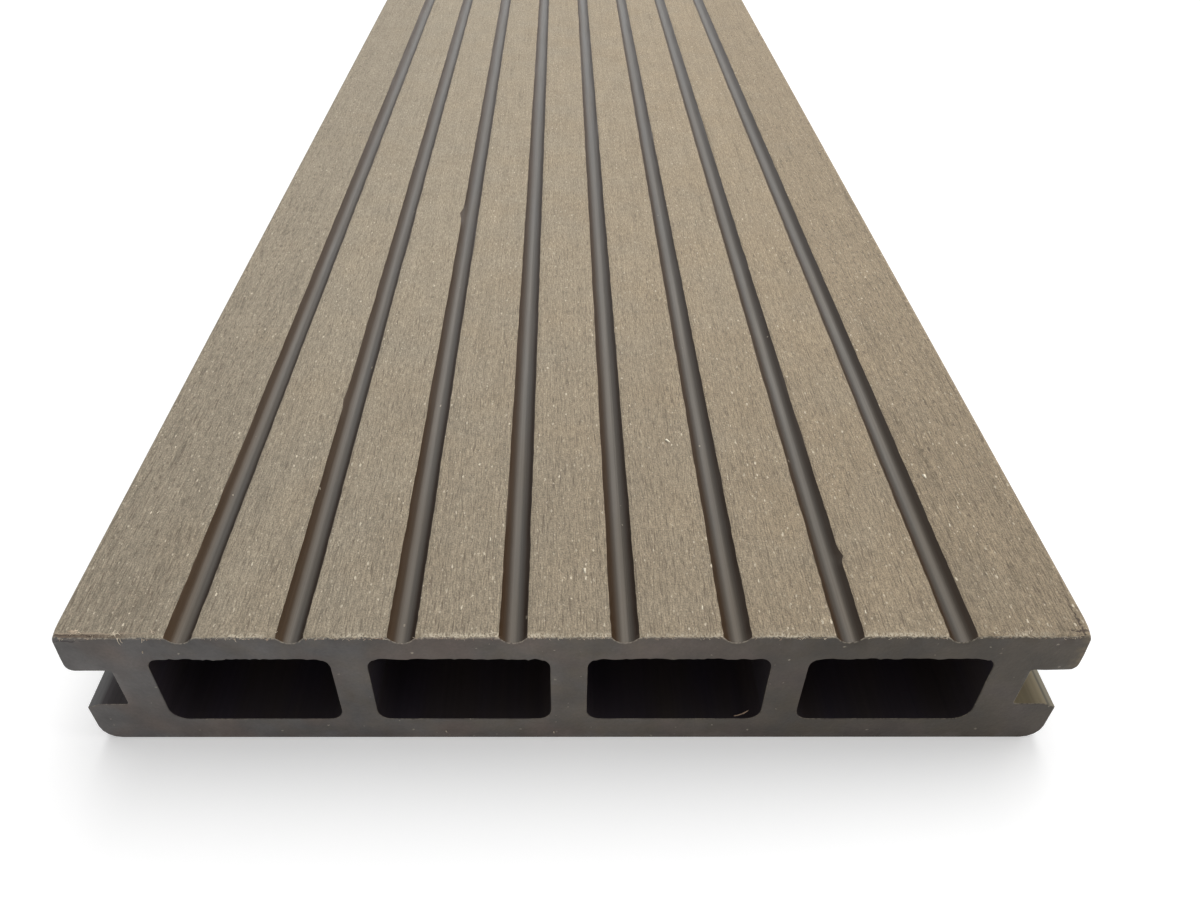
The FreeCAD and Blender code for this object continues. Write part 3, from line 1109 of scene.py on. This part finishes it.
def make_world():
    """A soft even sky that shows as plain white."""
    world = bpy.data.worlds.new("studio")
    bpy.context.scene.world = world
    world.use_nodes = True
    tree = world.node_tree
    light = tree.nodes["Background"]
    light.inputs["Color"].default_value = (1, 1, 1, 1)
    light.inputs["Strength"].default_value = SKY_STRENGTH
    shown = tree.nodes.new("ShaderNodeBackground")
    shown.inputs["Color"].default_value = (1, 1, 1, 1)
    shown.inputs["Strength"].default_value = 1.0
    mix = tree.nodes.new("ShaderNodeMixShader")
    tree.links.new(seen_directly(tree), mix.inputs[0])
    tree.links.new(light.outputs[0], mix.inputs[1])
    tree.links.new(shown.outputs[0], mix.inputs[2])
    tree.links.new(mix.outputs[0], tree.nodes["World Output"].inputs["Surface"])


def make_floor():
    """A plain pale floor that looks white far from the board."""
    side = FLOOR_HALF_SIDE
    corners = [(-side, -side, 0), (side, -side, 0), (side, side, 0), (-side, side, 0)]
    mesh = bpy.data.meshes.new("floor")
    mesh.from_pydata(corners, [], [(0, 1, 2, 3)])
    look = Recipe("floor", 1.0, 0.0, FLOOR_COLOUR)
    away = look.node("ShaderNodeVectorMath", {0: look.place}, operation="LENGTH").outputs["Value"]
    whiter = look.ranged(away, *FLOOR_WHITENS, FLOOR_LIFT, 1.0)
    look.set("Base Color", look.tone)
    look.set("Emission Color", (1, 1, 1, 1))
    look.set("Emission Strength", look.product(seen_directly(look.tree), whiter))
    mesh.materials.append(look.material)
    place_object("floor", mesh)


def make_lamps():
    """Soft lamps above, beside and in front of the board."""
    for name, place, target, size, power, reflected in LAMPS:
        data = bpy.data.lights.new(name, "AREA")
        data.shape = "RECTANGLE"
        data.size, data.size_y = size
        data.energy = power
        lamp = place_object(name, data)
        lamp.location = place
        lamp.visible_glossy = reflected
        lamp.rotation_euler = (Vector(target) - Vector(place)).to_track_quat("-Z", "Y").to_euler()


def make_camera():
    """The camera, with its shift from the photograph's optical centre."""
    data = bpy.data.cameras.new("camera")
    data.sensor_fit = "HORIZONTAL"
    data.sensor_width = SENSOR
    data.lens = FOCAL_PIXELS / PHOTO_SIZE[0] * SENSOR
    data.shift_x = (PHOTO_SIZE[0] / 2 - PHOTO_CENTRE[0]) / PHOTO_SIZE[0]
    data.shift_y = (PHOTO_CENTRE[1] - PHOTO_SIZE[1] / 2) / PHOTO_SIZE[0]
    data.clip_start = 0.01
    data.clip_end = 50
    yaw, down, roll = (math.radians(a) for a in (CAMERA_YAW, CAMERA_DOWN, CAMERA_ROLL))
    forward = Vector((math.sin(yaw) * math.cos(down), math.cos(yaw) * math.cos(down), -math.sin(down)))
    level_right = Vector((math.cos(yaw), -math.sin(yaw), 0))
    level_down = forward.cross(level_right)
    right = math.cos(roll) * level_right + math.sin(roll) * level_down
    down_axis = math.cos(roll) * level_down - math.sin(roll) * level_right
    turn = Matrix((right, -down_axis, -forward)).transposed()
    camera = place_object("camera", data)
    place = (Vector((0, NEAR_END, 0)) + CAMERA_FROM_END) * MM
    camera.matrix_world = Matrix.Translation(place) @ turn.to_4x4()
    bpy.context.scene.camera = camera


board_mesh = build_board()
MAKERS = (skin_material, groove_material, brushed_material, cut_material, bore_material, slot_material)
for make_material in MAKERS:
    board_mesh.materials.append(make_material())
board = place_piece("decking_board_detailed", board_mesh)
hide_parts("decking_board")
place_piece("frayed_edge", build_fibres())
make_camera()
make_world()
make_floor()
make_lamps()

bpy.context.scene.view_settings.view_transform = "Standard"
